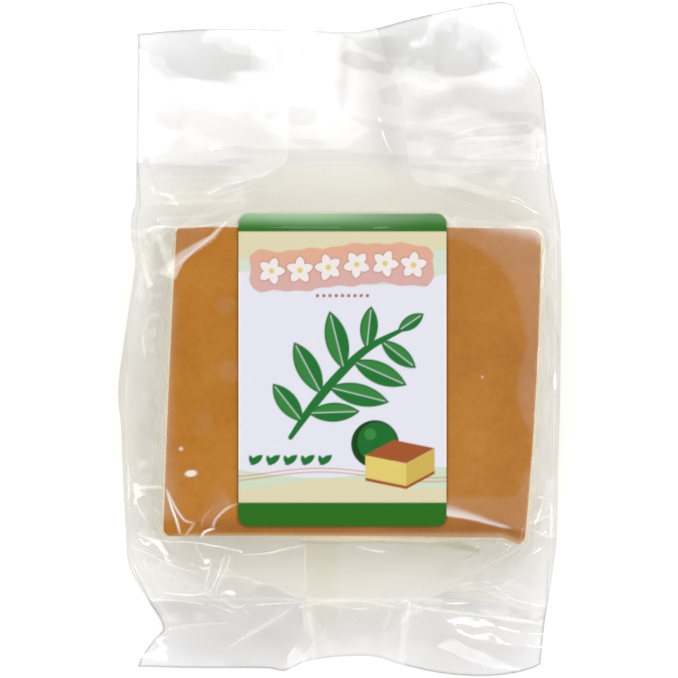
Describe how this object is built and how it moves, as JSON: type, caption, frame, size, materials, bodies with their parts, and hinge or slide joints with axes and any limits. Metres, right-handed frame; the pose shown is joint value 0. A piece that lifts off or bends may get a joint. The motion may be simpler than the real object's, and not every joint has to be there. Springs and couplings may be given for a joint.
{
  "type": "packed castella sponge cake",
  "caption": "Thick rectangular slab of castella sponge cake sealed in a clear side-gusseted plastic bag with flat fins at both ends and a printed paper label on its front.",
  "frame": {"origin": "middle of the pack's plan, on the flat base that it lies on", "axes": "+Z out of the front of the pack, which carries the label and lies uppermost; +Y along the bag towards the label's top; +X towards the label's right"},
  "size_m": [0.1282, 0.199, 0.0314],
  "materials": {
    "film": "clear thin plastic film, glossy, softly creased",
    "label": "coated paper with printed fields of colour, semi-gloss",
    "crust": "baked sponge crust, brown, smooth and faintly mottled",
    "crumb": "open sponge crumb, pale yellow-green"
  },
  "bodies": {
    "root": {"bag": "film", "label": "label"}
  },
  "joints": []
}
